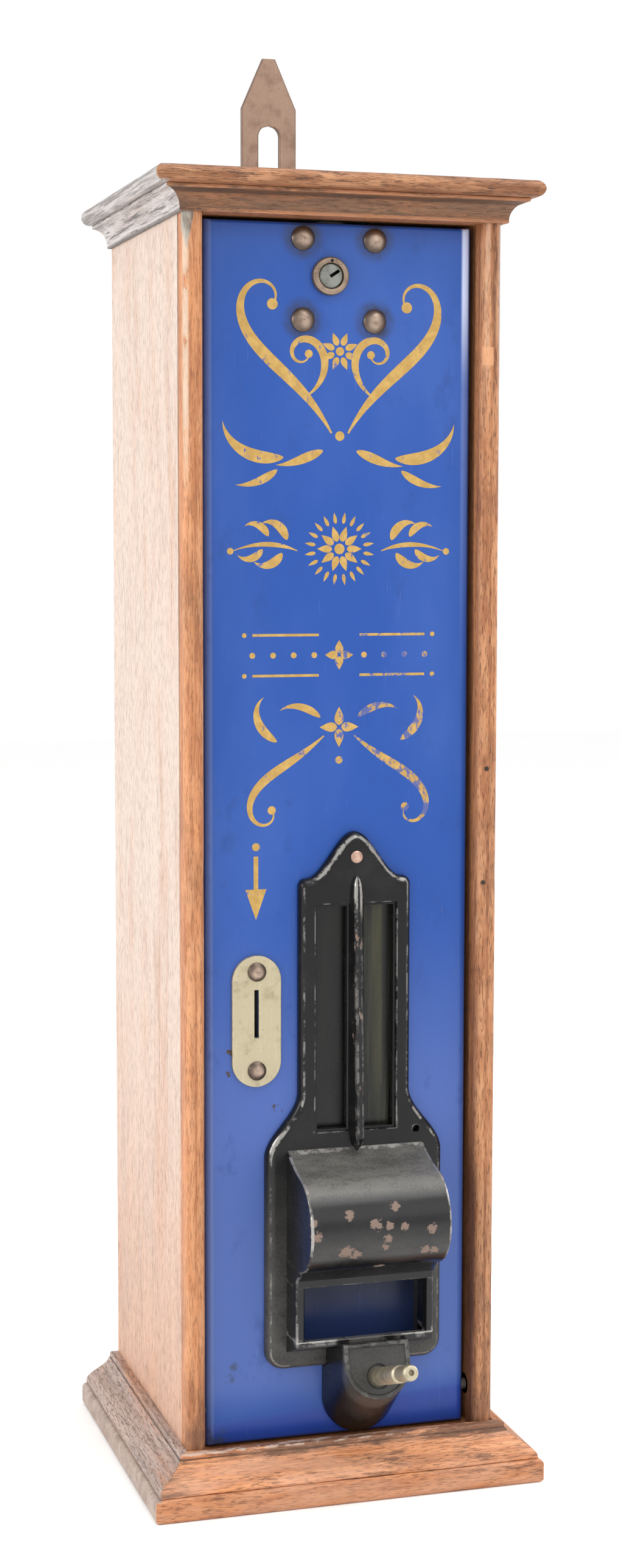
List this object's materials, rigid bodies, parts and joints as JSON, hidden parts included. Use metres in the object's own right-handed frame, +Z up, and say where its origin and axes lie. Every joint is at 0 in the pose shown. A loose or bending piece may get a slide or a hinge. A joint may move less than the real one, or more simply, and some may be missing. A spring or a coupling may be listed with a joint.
{
  "type": "gum vending machine",
  "caption": "Tall oak wall case with a lockable blue steel front, coin slot, window casting, delivery hood and a push plunger that feeds out a pack of gum.",
  "frame": {"origin": "centre of the base's underside", "axes": "+Z up the case, -Y out of the front, +X to the viewer's right"},
  "size_m": [0.173, 0.2019, 0.6296],
  "materials": {
    "oak": "worn satin varnish",
    "steel": "tarnished",
    "black_iron": "chipped gloss black paint",
    "tin_plate": "dull tin",
    "brass": "dull",
    "nickel_brass": "worn nickel plate",
    "blue_paint": "worn gloss blue enamel",
    "copper": "dull copper",
    "glass": "old window glass",
    "raw_iron": "bare"
  },
  "bodies": {
    "cabinet": {"base_plinth": "oak", "base_moulding_front": "oak", "base_moulding_left": "oak", "base_moulding_right": "oak", "floor_board": "oak", "side_board_left": "oak", "side_board_right": "oak", "back_board": "oak", "top_rail": "oak", "top_board": "oak", "cornice_front": "oak", "cornice_left": "oak", "cornice_right": "oak", "stop_blocks": "oak", "strike_plate": "steel", "strike_screws": "steel", "hanger_strip": "steel", "hanger_screws": "steel", "pivot_bushes": "brass", "cash_tray": "tin_plate"},
    "door": {"front_panel": "blue_paint", "pivot_pins": "steel", "lock_case": "steel", "lock_ring": "brass", "lock_screws": "steel", "lock_nuts": "steel", "coin_plate": "nickel_brass", "coin_plate_screws": "steel", "coin_chute": "tin_plate", "window_casting": "black_iron", "casting_rivet": "copper", "casting_screws": "steel", "delivery_hood": "black_iron", "plunger_boss": "black_iron", "plunger_bush": "brass", "window_glass": "glass", "glass_clips": "steel", "magazine": "tin_plate", "mechanism_frame": "tin_plate"},
    "lock_plug": {"lock_plug": "nickel_brass"},
    "lock_bolt": {"lock_bolt": "steel"},
    "plunger": {"plunger": "brass", "crosshead": "steel", "return_spring": "steel"},
    "rocker": {"rocker_shaft": "steel", "rocker_arm": "steel", "coin_paddle": "steel"},
    "pusher": {"pusher": "steel"},
    "follower": {"follower_weight": "raw_iron", "follower_pin": "steel"}
  },
  "joints": [
    {"name": "door_tilt", "type": "hinge", "parent": "cabinet", "child": "door", "pos_m": [0, -0.04725, 0.037], "axis": [1, 0, 0], "range_deg": [0, 25]},
    {"name": "lock_turn", "type": "hinge", "parent": "door", "child": "lock_plug", "pos_m": [-0.0046, -0.05225, 0.5177], "axis": [0, -1, 0], "range_deg": [0, 90]},
    {"name": "bolt_slide", "type": "slide", "parent": "door", "child": "lock_bolt", "axis": [0, 0, 1], "range_m": [0, 0.0072]},
    {"name": "plunger_push", "type": "slide", "parent": "door", "child": "plunger", "axis": [0, 0.9397, -0.342], "range_m": [0, 0.016], "stiffness_N_per_m": 250, "springref_m": -0.006, "deforming": ["return_spring"]},
    {"name": "rocker_swing", "type": "hinge", "parent": "door", "child": "rocker", "pos_m": [0.0065, -0.01425, 0.0725], "axis": [1, 0, 0], "range_deg": [0, 29.5]},
    {"name": "pusher_slide", "type": "slide", "parent": "door", "child": "pusher", "axis": [0, -1, 0], "range_m": [0, 0.0205]},
    {"name": "follower_rise", "type": "slide", "parent": "door", "child": "follower", "axis": [0, 0, 1], "range_m": [0, 0.3]}
  ],
  "couplings": [
    {"joint": "bolt_slide", "follows": "lock_turn", "m_per_rad": 0.004502},
    {"joint": "rocker_swing", "follows": "plunger_push", "rad_per_m": 31.634},
    {"joint": "pusher_slide", "follows": "plunger_push", "ratio": 1.2675}
  ]
}
